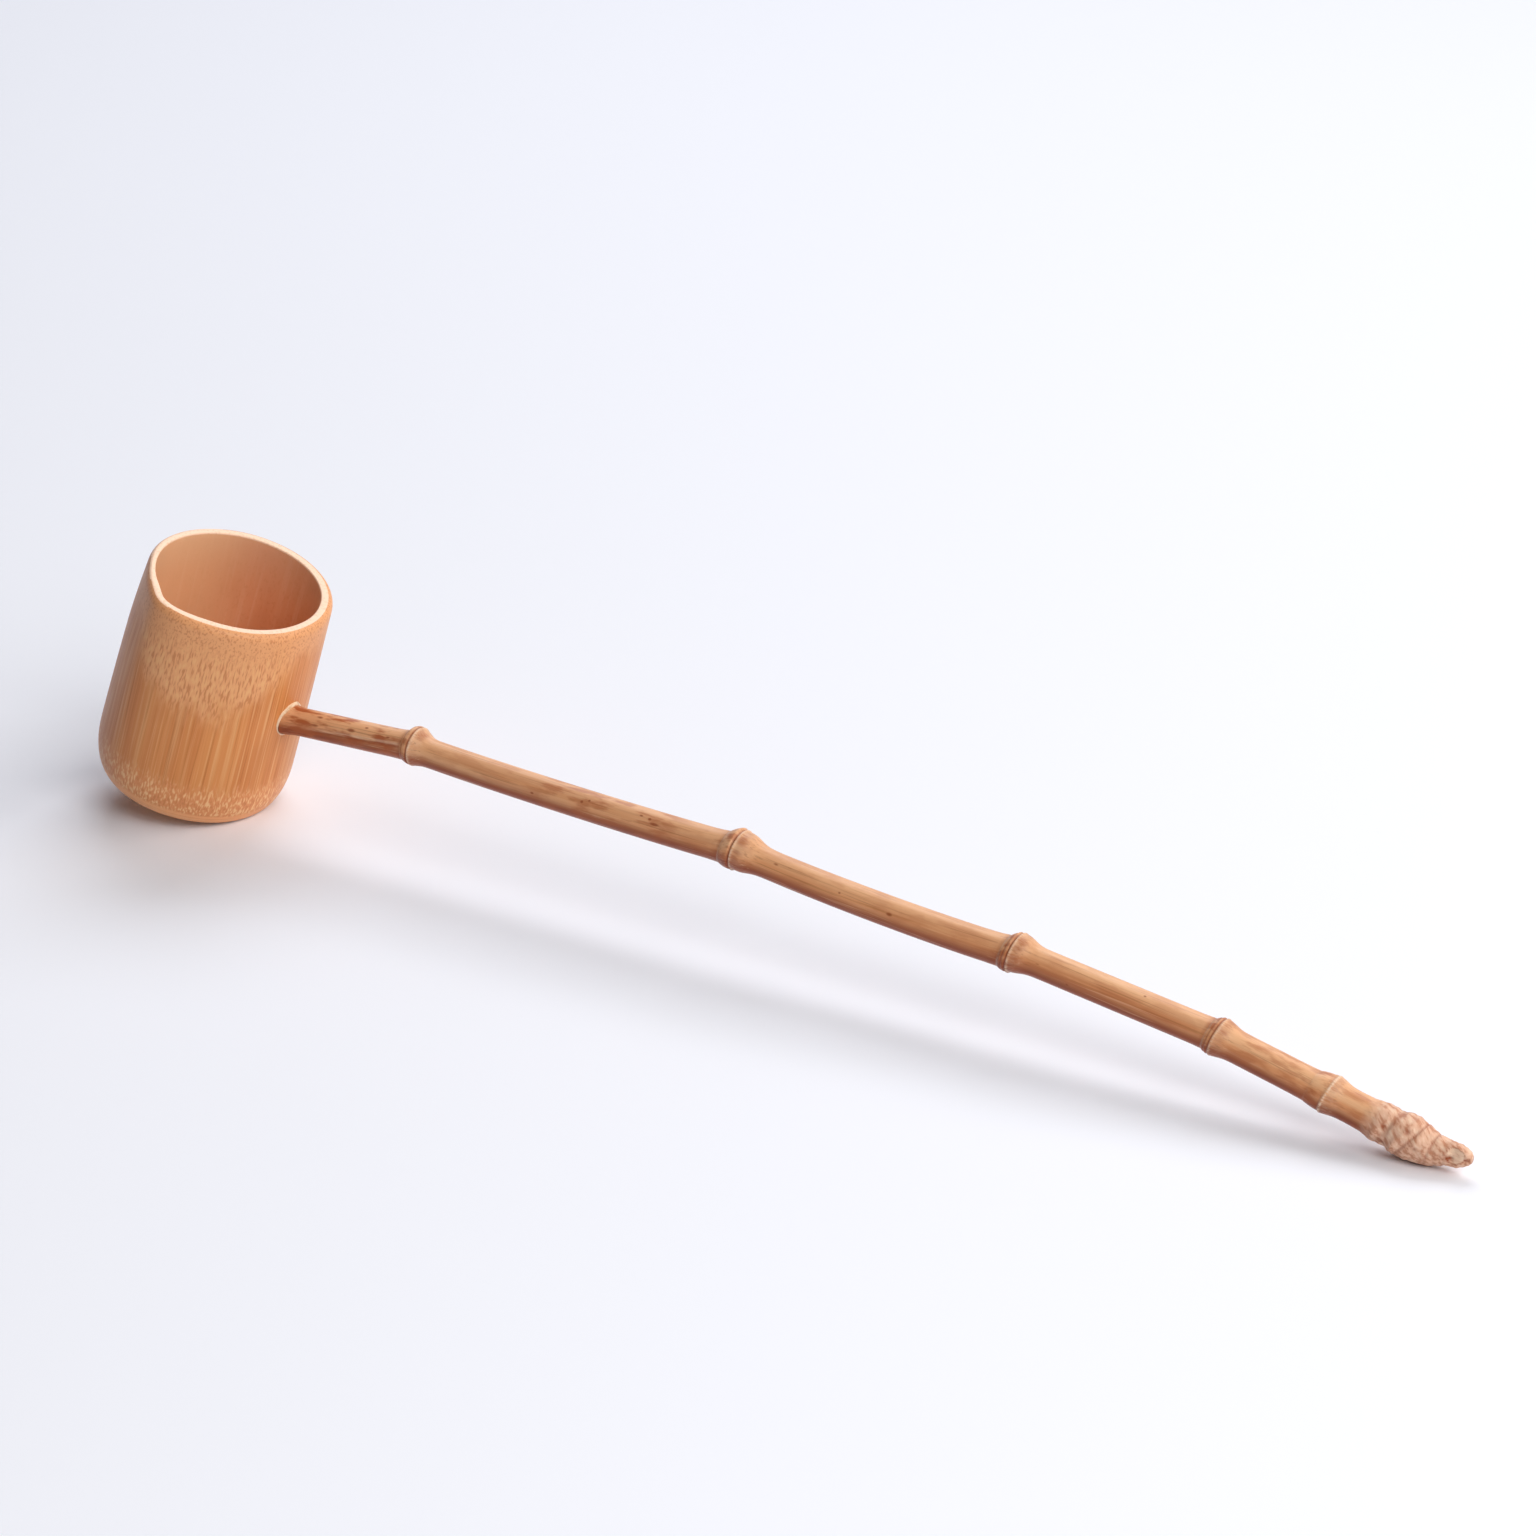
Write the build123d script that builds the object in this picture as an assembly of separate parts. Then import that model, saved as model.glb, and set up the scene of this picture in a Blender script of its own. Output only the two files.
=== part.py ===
from build123d import *
import math
import os

# A water dipper that lies at rest on a table: a cup cut from a thick culm, and a long handle
# of thin culm with its root end, let into the cup's wall. Millimetres and degrees.
# Pieces are made at the bench, with the cup upright on its floor, its axis on Z and the handle
# leaving towards +X. The finished dipper is then leaned over until it rests on the edge of the
# cup's foot and on the heel of the root.

# Cup
cup_height = 72.3
belly_radius = 30.9             # outside, at the top of the foot
lip_draw_in = 0.75              # the outside draws in by this from the belly to the lip
lip_wall = 4.55                 # between the inside and the outside of the lip
floor_wall = 4.9                # between the inside and the outside at the floor
floor_thickness = 6.5
floor_corner_round = 5.0
foot_height = 13.2              # the foot draws in over this height
foot_inset = 4.3                # and by this much, down to the flat of the floor
lip_outer_round = 2.0
lip_inner_round = 0.5

# The culm of the cup is out of round: a low ridge with a flat beside it, strongest at the lip
ridge_height = 1.7
ridge_angle = -100
ridge_spread_to_flat = 14
ridge_spread_away = 30
flat_depth = 1.25
flat_angle = -132
flat_spread = 18
fade_at_foot_share = 0.25       # what is left of the ridge and the flat at the foot

# Handle: it bends at its nodes, and its longest internodes sag a little between them
joint_height = 38.8             # where its axis meets the outside of the cup
internode_lengths = (48.2, 117.8, 93.3, 65.0, 35.3)
internode_climbs = (20.4, 15.6, 12.7, 10.4, 5.2)        # above the level of the cup's floor
internode_sags = (0, 1.2, 1.8, 0, 0)
radii_before_node = (4.5, 4.7, 4.65, 4.55, 4.7)
radii_after_node = (4.45, 4.35, 4.4, 4.6, 4.85)
node_rises = (1.35, 1.5, 1.3, 1.05, 0.9)                # of each node's ring above the culm
node_reach = 9.0                # a node's flare dies out at this distance on either side
node_lift = 0.35                # the rings stand out more on their upper side
bend_reach = 3.0                # each bend is spread over this distance on either side

# Root end: the last node to the heel, then the toe
heel_run = 31.9
heel_climb = 4.4
toe_run = 12.8
toe_climb = 18.5
root_radius = 6.45
heel_radius = 5.2

# Joint: a round tenon on the handle goes through the cup's wall, up to a shoulder, and a
# wedge driven in from inside the cup spreads its end
shoulder_radius = 4.9
shoulder_length = 3.0
handle_start_radius = 4.4
tenon_radius = 3.4
tenon_reach = 2.6               # past the inside of the wall
glue_gap = 0.05                 # round the tenon and behind the shoulder
wedge_length = 5.0
wedge_head = 1.1                # thickness at the end that was struck
wedge_tip = 0.25
wedge_proud = 0.7               # how far its head stands out of the tenon
wedge_side_gap = 0.3            # from the side of the wedge to the side of the tenon
bead_width = 1.1                # the bead of hardened glue round the shoulder
bead_height = 0.9

# Shares and counts that shape the outlines
outline_points = 48
foot_turns = (0, 15, 30, 45, 60, 75)                    # degrees of the foot's quarter ellipse
body_height_shares = (0.0, 0.25, 0.5, 0.75, 1.0)        # of the body above the foot
steepest_leans = (0, 60)        # degrees between which the resting lean is looked for
lean_halvings = 40
sag_power = 0.5                 # under 1 the sag starts close to the nodes
internode_shares = (0.15, 0.4, 0.65, 0.88)              # where an internode has its sections
# Along a node: distance as a share of node_reach, rise as a share of the node's own rise
node_profile_shares = (
    (-1.0, 0.0), (-0.6, 0.1), (-0.35, 0.36), (-0.2, 0.92), (-0.1, 1.0), (-0.03, 0.7),
    (0.05, 0.72), (0.13, 1.0), (0.24, 0.96), (0.42, 0.62), (0.66, 0.22), (1.0, 0.0),
)
# Along the root: distance as a share of the whole root, radius as a share of root_radius
root_profile_shares = (
    (0.27, 0.775), (0.33, 0.84), (0.38, 0.935), (0.42, 0.915), (0.455, 0.875), (0.495, 0.99),
    (0.56, 0.985), (0.645, 0.905),
)
# Along the toe: distance as a share of toe_run, radius as a share of heel_radius
toe_profile_shares = ((0.0, 1.0), (0.28, 0.86), (0.5, 0.74), (0.72, 0.6), (0.9, 0.43), (1.0, 0.3))


def swell(angle):
    """How far the ridge and the flat move the culm's wall out at an angle round the cup."""
    off_ridge = (angle - ridge_angle + 180) % 360 - 180
    off_flat = (angle - flat_angle + 180) % 360 - 180
    ridge_spread = ridge_spread_away if off_ridge > 0 else ridge_spread_to_flat
    ridge = ridge_height * math.exp(-((off_ridge / ridge_spread) ** 2))
    flat = flat_depth * math.exp(-((off_flat / flat_spread) ** 2))
    return ridge - flat


def fade(height):
    """What is left of the ridge and the flat at a height of the cup, as a share."""
    return fade_at_foot_share + (1 - fade_at_foot_share) * height / cup_height


def outside_radius(height):
    """Radius of the cup's outside at a height, before its ridge and flat."""
    if height < foot_height:
        drop_share = 1 - height / foot_height
        return belly_radius - foot_inset * (1 - math.sqrt(1 - drop_share ** 2))
    share = (height - foot_height) / (cup_height - foot_height)
    return belly_radius - lip_draw_in * share ** 2


def inside_radius(height):
    """Radius of the cup's hollow at a height, before its ridge and flat."""
    floor_radius = outside_radius(floor_thickness) - floor_wall
    mouth_radius = outside_radius(cup_height) - lip_wall
    share = (height - floor_thickness) / (cup_height - floor_thickness)
    return floor_radius + (mouth_radius - floor_radius) * share


def culm_outline(radius, height):
    """The culm's closed outline at one height of the cup."""
    points = []
    for step in range(outline_points):
        angle = 360 * step / outline_points
        reach = radius + fade(height) * swell(angle)
        turn = math.radians(angle)
        points.append((reach * math.cos(turn), reach * math.sin(turn), height))
    return Wire([Edge.make_spline(points, periodic=True)])


def cup_outside(gap):
    """The cup as if it were solid, with its wall moved out by a gap."""
    heights = [foot_height * (1 - math.cos(math.radians(turn))) for turn in foot_turns]
    heights += [foot_height + (cup_height - foot_height) * share for share in body_height_shares]
    return Solid.make_loft([culm_outline(outside_radius(height) + gap, height) for height in heights])


def cup_hollow():
    """The space inside the cup, from its floor to its lip."""
    ends = (floor_thickness, cup_height)
    hollow = Solid.make_loft([culm_outline(inside_radius(height), height) for height in ends])
    floor_edge = hollow.edges().sort_by(Axis.Z)[0]
    return hollow.fillet(floor_corner_round, [floor_edge])


def lip_edges(body):
    """The two edges of the cup's flat lip, the inner one first."""
    return body.faces().sort_by(Axis.Z)[-1].edges().sort_by(SortBy.LENGTH)


def joint_radius():
    """How far from the cup's axis the handle's axis meets the outside of the cup."""
    return outside_radius(joint_height) + fade(joint_height) * swell(0)


def direction(climb):
    """Unit direction away from the cup at a climb above the level of the floor."""
    turn = math.radians(climb)
    return Vector(math.cos(turn), 0, math.sin(turn))


def handle_runs():
    """Start point, length, climb and sag of every run, from the cup to the toe."""
    lengths = internode_lengths + (heel_run, toe_run)
    climbs = internode_climbs + (heel_climb, toe_climb)
    sags = internode_sags + (0, 0)
    start = Vector(joint_radius(), 0, joint_height)
    runs = []
    for length, climb, sag in zip(lengths, climbs, sags):
        runs.append((start, length, climb, sag))
        start = start + direction(climb) * length
    return runs


def section_plane(runs, index, distance):
    """Plane across the handle at a distance along one run, turned with the bend nearby."""
    start, length, climb, sag = runs[index]
    turned = climb
    if distance < bend_reach and index > 0:
        share = (bend_reach - distance) / (2 * bend_reach)
        turned = climb + (runs[index - 1][2] - climb) * share
    if distance > length - bend_reach and index + 1 < len(runs):
        share = (bend_reach - (length - distance)) / (2 * bend_reach)
        turned = climb + (runs[index + 1][2] - climb) * share
    length_share = min(max(distance / length, 0), 1)
    drop = Vector(0, 0, -sag * math.sin(math.pi * length_share) ** sag_power)
    origin = start + direction(climb) * distance + drop
    return Plane(origin=origin, x_dir=(0, 1, 0), z_dir=direction(turned))


def ring(plane, radius, lift=0):
    """One round section of the handle, moved towards its upper side by a lift."""
    return Wire.make_circle(radius, plane.shift_origin(plane.origin + plane.y_dir * lift))


def node_rings(runs, node):
    """Sections through one node, from the flare before it to the flare after it."""
    rings = []
    for along, rise in node_profile_shares:
        before = along < 0
        index = node if before else node + 1
        distance = runs[node][1] + along * node_reach if before else along * node_reach
        base = radii_before_node[node] if before else radii_after_node[node]
        radius = base + rise * node_rises[node]
        rings.append(ring(section_plane(runs, index, distance), radius, rise * node_lift))
    return rings


def internode_rings(runs, node):
    """Sections through the internode before a node, clear of the flares at its two ends."""
    rings = []
    length = runs[node][1]
    for share in internode_shares:
        distance = node_reach + (length - 2 * node_reach) * share
        radius = radii_after_node[node - 1] * (1 - share) + radii_before_node[node] * share
        rings.append(ring(section_plane(runs, node, distance), radius))
    return rings


def handle_culm():
    """The handle's culm from inside the cup's wall to the toe, before the joint is cut."""
    runs = handle_runs()
    slant = shoulder_radius * math.tan(math.radians(internode_climbs[0]))
    rings = [
        ring(section_plane(runs, 0, -lip_wall), shoulder_radius),
        ring(section_plane(runs, 0, slant + bead_height), shoulder_radius),
        ring(section_plane(runs, 0, slant + bead_height + shoulder_length), handle_start_radius),
    ]
    for node in range(len(node_rises)):
        if node > 0:
            rings += internode_rings(runs, node)
        rings += node_rings(runs, node)
    root = len(node_rises)
    for along, share in root_profile_shares:
        plane = section_plane(runs, root, along * (heel_run + toe_run))
        rings.append(ring(plane, share * root_radius))
    for along, share in toe_profile_shares:
        plane = section_plane(runs, root + 1, along * toe_run)
        rings.append(ring(plane, share * heel_radius))
    return Solid.make_loft(rings, ruled=True)


def joint_plane():
    """Plane on the handle's axis where it meets the cup, with Z away from the cup."""
    return section_plane(handle_runs(), 0, 0)


def tenon_length():
    """From the outside of the wall to the end of the tenon, along the handle's axis."""
    wall = outside_radius(joint_height) - inside_radius(joint_height)
    return wall / math.cos(math.radians(internode_climbs[0])) + tenon_reach


def joint_bar(radius, inside, outside):
    """A round bar on the handle's axis that reaches inside and outside of the joint."""
    return joint_plane().location * Pos(0, 0, -inside) * Solid.make_cylinder(radius, inside + outside)


def tenon_wedge():
    """The wedge, its faces across the cup's grain, with its head inside the cup."""
    head = -tenon_length() - wedge_proud
    tip = head + wedge_length
    side = Polyline(
        (-wedge_head / 2, head),
        (wedge_head / 2, head),
        (wedge_tip / 2, tip),
        (-wedge_tip / 2, tip),
        close=True,
    )
    blade = extrude(Plane.YZ * make_face(side), amount=tenon_radius - wedge_side_gap, both=True)
    return joint_plane().location * blade.solid()


def cup():
    """The cup: the culm with its hollow, its rounded lip and the hole for the tenon."""
    body = cup_outside(0) - cup_hollow()
    body = body.fillet(lip_inner_round, [lip_edges(body)[0]])
    body = body.fillet(lip_outer_round, [lip_edges(body)[-1]])
    return body - joint_bar(tenon_radius + glue_gap, tenon_length(), tenon_radius + lip_wall)


def handle():
    """The handle: the culm scribed to the cup at its shoulder, with its tenon and kerf."""
    culm = handle_culm() - cup_outside(glue_gap)
    tenon = joint_bar(tenon_radius, tenon_length(), tenon_radius + shoulder_length)
    return (culm + tenon - tenon_wedge()).solid()


def joint_bead():
    """The bead of hardened glue in the corner between the shoulder and the cup."""
    collar = joint_bar(shoulder_radius + bead_width, lip_wall, 2 * shoulder_radius)
    shoulder = joint_bar(shoulder_radius, 2 * lip_wall, 3 * shoulder_radius)
    return ((collar & cup_outside(bead_height)) - cup_outside(0) - shoulder).solid()


def foot_depth(lean):
    """How far below the floor's centre the foot reaches when the dipper leans."""
    turn = math.radians(lean)
    across = (belly_radius - foot_inset) * math.sin(turn) - foot_height * math.cos(turn)
    return across + math.hypot(foot_inset * math.sin(turn), foot_height * math.cos(turn))


def heel_depth(lean):
    """How far below the floor's centre the heel of the root reaches when the dipper leans."""
    turn = math.radians(lean)
    heel = handle_runs()[-1][0]
    return heel.X * math.sin(turn) - heel.Z * math.cos(turn) + heel_radius


def resting_lean():
    """The lean at which the foot and the heel touch the table together."""
    low, high = steepest_leans
    for _ in range(lean_halvings):
        middle = (low + high) / 2
        if heel_depth(middle) < foot_depth(middle):
            low = middle
        else:
            high = middle
    return low


pieces = {
    "cup": cup(),
    "handle": handle(),
    "tenon_wedge": tenon_wedge(),
    "joint_bead": joint_bead(),
}

lean = resting_lean()
leaned = {name: Rot(0, lean, 0) * shape for name, shape in pieces.items()}
box = Compound(list(leaned.values())).bounding_box()
to_origin = Pos(-box.center().X, -box.center().Y, -box.min.Z)

os.makedirs("parts", exist_ok=True)
for name, shape in leaned.items():
    export_step(to_origin * shape, f"parts/{name}.step")
print(f"lean {lean:.2f} degrees, box {box.size.X:.1f} x {box.size.Y:.1f} x {box.size.Z:.1f}")
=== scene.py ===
"""The looks of a water dipper that lies at rest on a table.

A cup cut from a thick culm is leaned over its foot, and a long handle of thin culm with its root
end is let into the cup's wall. The classes work in the bench frame, in millimetres: the cup stands
upright on its floor, its axis is Z, and the handle leaves towards +X. BENCH_TO_TABLE then leans a
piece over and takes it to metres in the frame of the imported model.
"""

import logging
import math
from dataclasses import dataclass
from enum import IntEnum
from itertools import pairwise

import bmesh
import bpy
from mathutils import Matrix, Vector, noise


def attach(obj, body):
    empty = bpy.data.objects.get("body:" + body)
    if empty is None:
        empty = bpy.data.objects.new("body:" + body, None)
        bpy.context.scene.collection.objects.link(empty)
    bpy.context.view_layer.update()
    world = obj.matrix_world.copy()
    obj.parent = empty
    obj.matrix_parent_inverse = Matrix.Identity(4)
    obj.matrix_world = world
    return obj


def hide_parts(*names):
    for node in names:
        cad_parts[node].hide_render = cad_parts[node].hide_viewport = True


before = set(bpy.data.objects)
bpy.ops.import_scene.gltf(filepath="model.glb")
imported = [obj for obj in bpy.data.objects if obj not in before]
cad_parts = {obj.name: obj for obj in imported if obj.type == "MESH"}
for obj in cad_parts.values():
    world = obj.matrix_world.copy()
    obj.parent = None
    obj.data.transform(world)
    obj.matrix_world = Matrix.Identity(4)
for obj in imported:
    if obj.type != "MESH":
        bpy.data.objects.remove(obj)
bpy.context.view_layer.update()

log = logging.getLogger("water_dipper")

Socket = bpy.types.NodeSocket
Tree = bpy.types.NodeTree

LEAN = math.radians(17.296)
BENCH_PLACE = Vector((-207.800, 0.665, 7.965))
BENCH_TO_TABLE = Matrix.Scale(0.001, 4) @ Matrix.Translation(BENCH_PLACE) @ Matrix.Rotation(LEAN, 4, "Y")
PHOTO_WIDTH = 1536
UNBENT = "unbent"
SKIN_MASKS = ("soot", "wax", "root", "stain")


def bell(offset: float, spread: float) -> float:
    """A soft bump that is 1 at no offset and dies out over a few spreads."""
    return math.exp(-((offset / spread) ** 2))


def eased(value: float, start: float, end: float) -> float:
    """Goes smoothly from 0 at the start to 1 at the end.

    Args:
        value: Where the ramp is read.
        start: Where it is 0.
        end: Where it is 1, above or below the start.

    Returns:
        The height of the ramp, from 0 to 1.
    """
    share = min(1.0, max(0.0, (value - start) / (end - start)))
    return share * share * (3 - 2 * share)


def apart(angle: float, other: float) -> float:
    """Signed difference between two angles in degrees, from -180 to 180."""
    return (angle - other + 180) % 360 - 180


def polar(radius: float, angle: float, height: float) -> Vector:
    """The point at a radius, an angle in degrees and a height."""
    turn = math.radians(angle)
    return Vector((radius * math.cos(turn), radius * math.sin(turn), height))


def linear(colour: str) -> tuple[float, float, float, float]:
    """Turns an sRGB hex colour such as #C8915F to the linear values that shaders take.

    Args:
        colour: The colour, as a hash sign and six hex digits.

    Returns:
        Red, green, blue and an alpha of 1.
    """
    channels = [int(colour[start:start + 2], 16) / 255 for start in (1, 3, 5)]
    red, green, blue = (c / 12.92 if c <= 0.04045 else ((c + 0.055) / 1.055) ** 2.4 for c in channels)
    return red, green, blue, 1.0


def add(
    tree: Tree, kind: str, links: dict | None = None, **settings: object
) -> bpy.types.Node:
    """Adds a node with its settings and links.

    Args:
        tree: The tree that gets the node.
        kind: The node's type name.
        links: For each input, by name or place, the socket that feeds it or its own value.
        settings: The node's own properties.

    Returns:
        The new node.
    """
    node = tree.nodes.new(kind)
    for name, value in settings.items():
        setattr(node, name, value)
    for key, value in (links or {}).items():
        if isinstance(value, Socket):
            tree.links.new(value, node.inputs[key])
        else:
            node.inputs[key].default_value = value
    return node


def start_finish(name: str) -> tuple[bpy.types.Material, Tree]:
    """Makes a material with an empty node tree.

    Args:
        name: What the real finish is.

    Returns:
        The material and its tree.
    """
    material = bpy.data.materials.new(name)
    material.use_nodes = True
    material.node_tree.nodes.clear()
    return material, material.node_tree


def bench_millimetres(tree: Tree) -> Socket:
    """Adds nodes that give a point's bench coordinates in millimetres, with the cup's axis on Z.

    Args:
        tree: The tree that gets the nodes.

    Returns:
        The vector socket.
    """
    turned_back = Matrix.Rotation(-LEAN, 3, "Y") @ BENCH_PLACE
    coordinates = add(tree, "ShaderNodeTexCoord")
    mapped = add(
        tree,
        "ShaderNodeMapping",
        {
            "Vector": coordinates.outputs["Object"],
            "Location": -turned_back,
            "Rotation": (0.0, -LEAN, 0.0),
            "Scale": (1000.0, 1000.0, 1000.0),
        },
    )
    return mapped.outputs["Vector"]


@dataclass(frozen=True)
class Grain:
    """A pattern of specks drawn out along the fibres, which run along Z, by its size in millimetres."""

    width: float
    length: float
    layers: float = 2.0

    def draw(self, tree: Tree, place: Socket) -> Socket:
        """Adds the pattern's nodes.

        Args:
            tree: The tree that gets them.
            place: Coordinates in millimetres.

        Returns:
            The socket with the pattern, about 0.5 in the middle.
        """
        scale = (0.5 / self.width, 0.5 / self.width, 0.5 / self.length)
        drawn_out = add(tree, "ShaderNodeVectorMath", {0: place, 1: scale}, operation="MULTIPLY")
        speckle = add(
            tree,
            "ShaderNodeTexNoise",
            {"Vector": drawn_out.outputs["Vector"], "Scale": 1.0, "Detail": self.layers, "Roughness": 0.55},
        )
        return speckle.outputs["Fac"]


@dataclass(frozen=True)
class Fade:
    """How one colour goes over into another: smoothly, from one value of a pattern to another.

    The end may be above or below the start, and the most is the share of the upper colour there.
    """

    start: float
    end: float
    most: float = 1.0

    def lay(
        self,
        tree: Tree,
        under: Socket | str,
        over: Socket | str,
        pattern: Socket,
        where: Socket | None = None,
    ) -> Socket:
        """Lays one colour over another.

        Args:
            tree: The tree that gets the nodes.
            under: The colour below, as a socket or as sRGB hex.
            over: The colour laid over it, in the same way.
            pattern: What the fade follows.
            where: A mask that the upper colour keeps to.

        Returns:
            The socket with the mixed colour.
        """
        rising = self.end > self.start
        share = add(
            tree,
            "ShaderNodeMapRange",
            {
                "Value": pattern,
                "From Min": min(self.start, self.end),
                "From Max": max(self.start, self.end),
                "To Min": 0.0 if rising else self.most,
                "To Max": self.most if rising else 0.0,
            },
            interpolation_type="SMOOTHSTEP",
        ).outputs["Result"]
        if where is not None:
            share = add(tree, "ShaderNodeMath", {0: share, 1: where}, operation="MULTIPLY").outputs[0]
        below, above = (linear(one) if isinstance(one, str) else one for one in (under, over))
        return add(tree, "ShaderNodeMix", {0: share, 6: below, 7: above}, data_type="RGBA").outputs[2]


@dataclass(frozen=True)
class Finish:
    """What every finish has: its shine, and how strong and how high in metres its fine relief is."""

    roughness: float = 0.5
    ior: float = 1.5
    specular: float = 0.5
    relief_strength: float = 0.25
    relief_height: float = 0.00008

    def complete(
        self,
        tree: Tree,
        colour: Socket,
        relief: Socket,
        roughness: Socket | None = None,
    ) -> None:
        """Ends the finish's tree with its relief, its shader and its output.

        Args:
            tree: The tree that gets the nodes.
            colour: The colour of the surface.
            relief: The pattern that stands up from it.
            roughness: A roughness that changes over the surface, in place of the even one.
        """
        bump = add(
            tree,
            "ShaderNodeBump",
            {"Height": relief, "Strength": self.relief_strength, "Distance": self.relief_height},
        )
        shader = add(
            tree,
            "ShaderNodeBsdfPrincipled",
            {
                "Base Color": colour,
                "Roughness": self.roughness if roughness is None else roughness,
                "IOR": self.ior,
                "Specular IOR Level": self.specular,
                "Normal": bump.outputs["Normal"],
            },
        )
        add(tree, "ShaderNodeOutputMaterial", {"Surface": shader.outputs["BSDF"]})


@dataclass(frozen=True)
class ScrapedCupCulm(Finish):
    """Bamboo culm with its green skin scraped off, sanded and smoked honey brown.

    The scraping cuts through the bundles of fibre at a low angle, so they show as long streaks at
    mid height, and as short dashes and dots where the outside curves in to the lip and the foot.
    The dashes reach lowest on the two faces that were scraped deepest, and the side away from the
    handle is painted darker and redder, as painted shade. The heights of the zones are those of their edges,
    which are ragged.
    """

    specular: float = 0.25
    honey: str = "#DB9155"
    deep_honey: str = "#C9763F"
    pale_fibre: str = "#EBB67C"
    dark_fibre: str = "#AE602C"
    upper_honey: str = "#E6A470"
    dash: str = "#BC7142"
    foot_honey: str = "#DE935F"
    foot_fleck: str = "#F4CB96"
    bottom_edge: str = "#EFAD78"
    # painted shade: the red-brown laid on the side away from the handle
    painted_shade_brown: str = "#8A4624"

    streaks: Grain = Grain(2.6, 90.0, 3.0)
    bundles: Grain = Grain(0.8, 40.0, 2.0)
    fibres: Grain = Grain(0.3, 26.0, 3.0)
    dashes: Grain = Grain(0.3, 1.6, 1.0)
    dots: Grain = Grain(0.28, 0.5, 1.0)
    flecks: Grain = Grain(0.32, 1.1, 1.0)
    turned_lines: Grain = Grain(30.0, 0.35, 2.0)
    wander: Grain = Grain(6.0, 9.0, 1.0)
    ragged: Grain = Grain(1.1, 4.0, 1.0)

    deep_streaks: Fade = Fade(0.25, 0.75, 0.7)
    pale_bundles: Fade = Fade(0.50, 0.74, 0.45)
    dark_fibres: Fade = Fade(0.48, 0.30, 0.5)
    pale_fibres: Fade = Fade(0.54, 0.72, 0.5)
    dark_dashes: Fade = Fade(0.50, 0.34, 0.65)
    pale_dashes: Fade = Fade(0.53, 0.66, 0.6)
    dark_dots: Fade = Fade(0.50, 0.34, 0.55)
    pale_flecks: Fade = Fade(0.49, 0.65, 0.75)
    dark_flecks: Fade = Fade(0.44, 0.30, 0.4)
    deep_lines: Fade = Fade(0.48, 0.36, 0.6)
    dashed_zone: Fade = Fade(69.0, 81.0)
    dotted_zone: Fade = Fade(63.0, 73.0)
    foot_zone: Fade = Fade(22.0, 15.0)
    bottom_zone: Fade = Fade(5.0, 3.6)
    # painted shade: the side away from the handle is darkened towards red-brown
    painted_shade_side: Fade = Fade(8.0, -22.0, 0.38)

    ragged_reach: float = 9.0
    wander_reach: float = 14.0
    deepest_scraping: float = -62
    scraped_from: float = 14.0
    scraped_fully: float = 31.0
    dashes_reach: float = 20.0
    roughness_between_fibres: float = 0.46
    roughness_on_fibres: float = 0.34

    def zone_edges(
        self, tree: Tree, place: Socket, height: Socket
    ) -> tuple[Socket, Socket]:
        """Adds the heights that the zones of the skin end at.

        Args:
            tree: The tree that gets the nodes.
            place: Bench coordinates in millimetres.
            height: The height above the foot.

        Returns:
            The height made ragged, and the same raised where the dashes reach lower down.
        """
        turn = math.radians(self.deepest_scraping)
        facing = add(
            tree,
            "ShaderNodeVectorMath",
            {0: place, 1: (math.cos(turn), math.sin(turn), 0.0)},
            operation="DOT_PRODUCT",
        )
        off_middle = add(tree, "ShaderNodeMath", {0: facing.outputs["Value"]}, operation="ABSOLUTE")
        reach = add(
            tree,
            "ShaderNodeMapRange",
            {
                "Value": off_middle.outputs[0],
                "From Min": self.scraped_from,
                "From Max": self.scraped_fully,
                "To Max": self.dashes_reach,
            },
            interpolation_type="SMOOTHSTEP",
        )
        edge = height
        edges = []
        for grain, grain_reach in ((self.ragged, self.ragged_reach), (self.wander, self.wander_reach)):
            drawn = grain.draw(tree, place)
            edge = add(
                tree, "ShaderNodeMath", {0: drawn, 1: grain_reach, 2: edge}, operation="MULTIPLY_ADD"
            ).outputs[0]
            edges.append(edge)
        upper_edge = add(tree, "ShaderNodeMath", {0: edge, 1: reach.outputs["Result"]})
        return edges[0], upper_edge.outputs[0]

    def build(self) -> bpy.types.Material:
        """Builds the material."""
        material, tree = start_finish("scraped_cup_culm")
        place = bench_millimetres(tree)
        parts = add(tree, "ShaderNodeSeparateXYZ", {0: place})
        height = parts.outputs["Z"]
        edge, upper_edge = self.zone_edges(tree, place, height)
        streaks = self.streaks.draw(tree, place)
        bundles = self.bundles.draw(tree, place)
        fibres = self.fibres.draw(tree, place)
        dashes = self.dashes.draw(tree, place)
        dots = self.dots.draw(tree, place)
        flecks = self.flecks.draw(tree, place)
        turned_lines = self.turned_lines.draw(tree, place)

        body = self.deep_streaks.lay(tree, self.honey, self.deep_honey, streaks)
        body = self.pale_bundles.lay(tree, body, self.pale_fibre, bundles)
        body = self.dark_fibres.lay(tree, body, self.dark_fibre, fibres)
        body = self.pale_fibres.lay(tree, body, self.pale_fibre, fibres)
        dashed = self.dark_dashes.lay(tree, self.upper_honey, self.dash, dashes)
        dashed = self.pale_dashes.lay(tree, dashed, self.pale_fibre, dashes)
        dotted = self.dark_dots.lay(tree, self.upper_honey, self.dash, dots)
        dashed = self.dotted_zone.lay(tree, dashed, dotted, edge)
        flecked = self.pale_flecks.lay(tree, self.foot_honey, self.foot_fleck, flecks)
        flecked = self.dark_flecks.lay(tree, flecked, self.dash, flecks)
        lined = self.deep_lines.lay(tree, self.bottom_edge, self.deep_honey, turned_lines)

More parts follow.
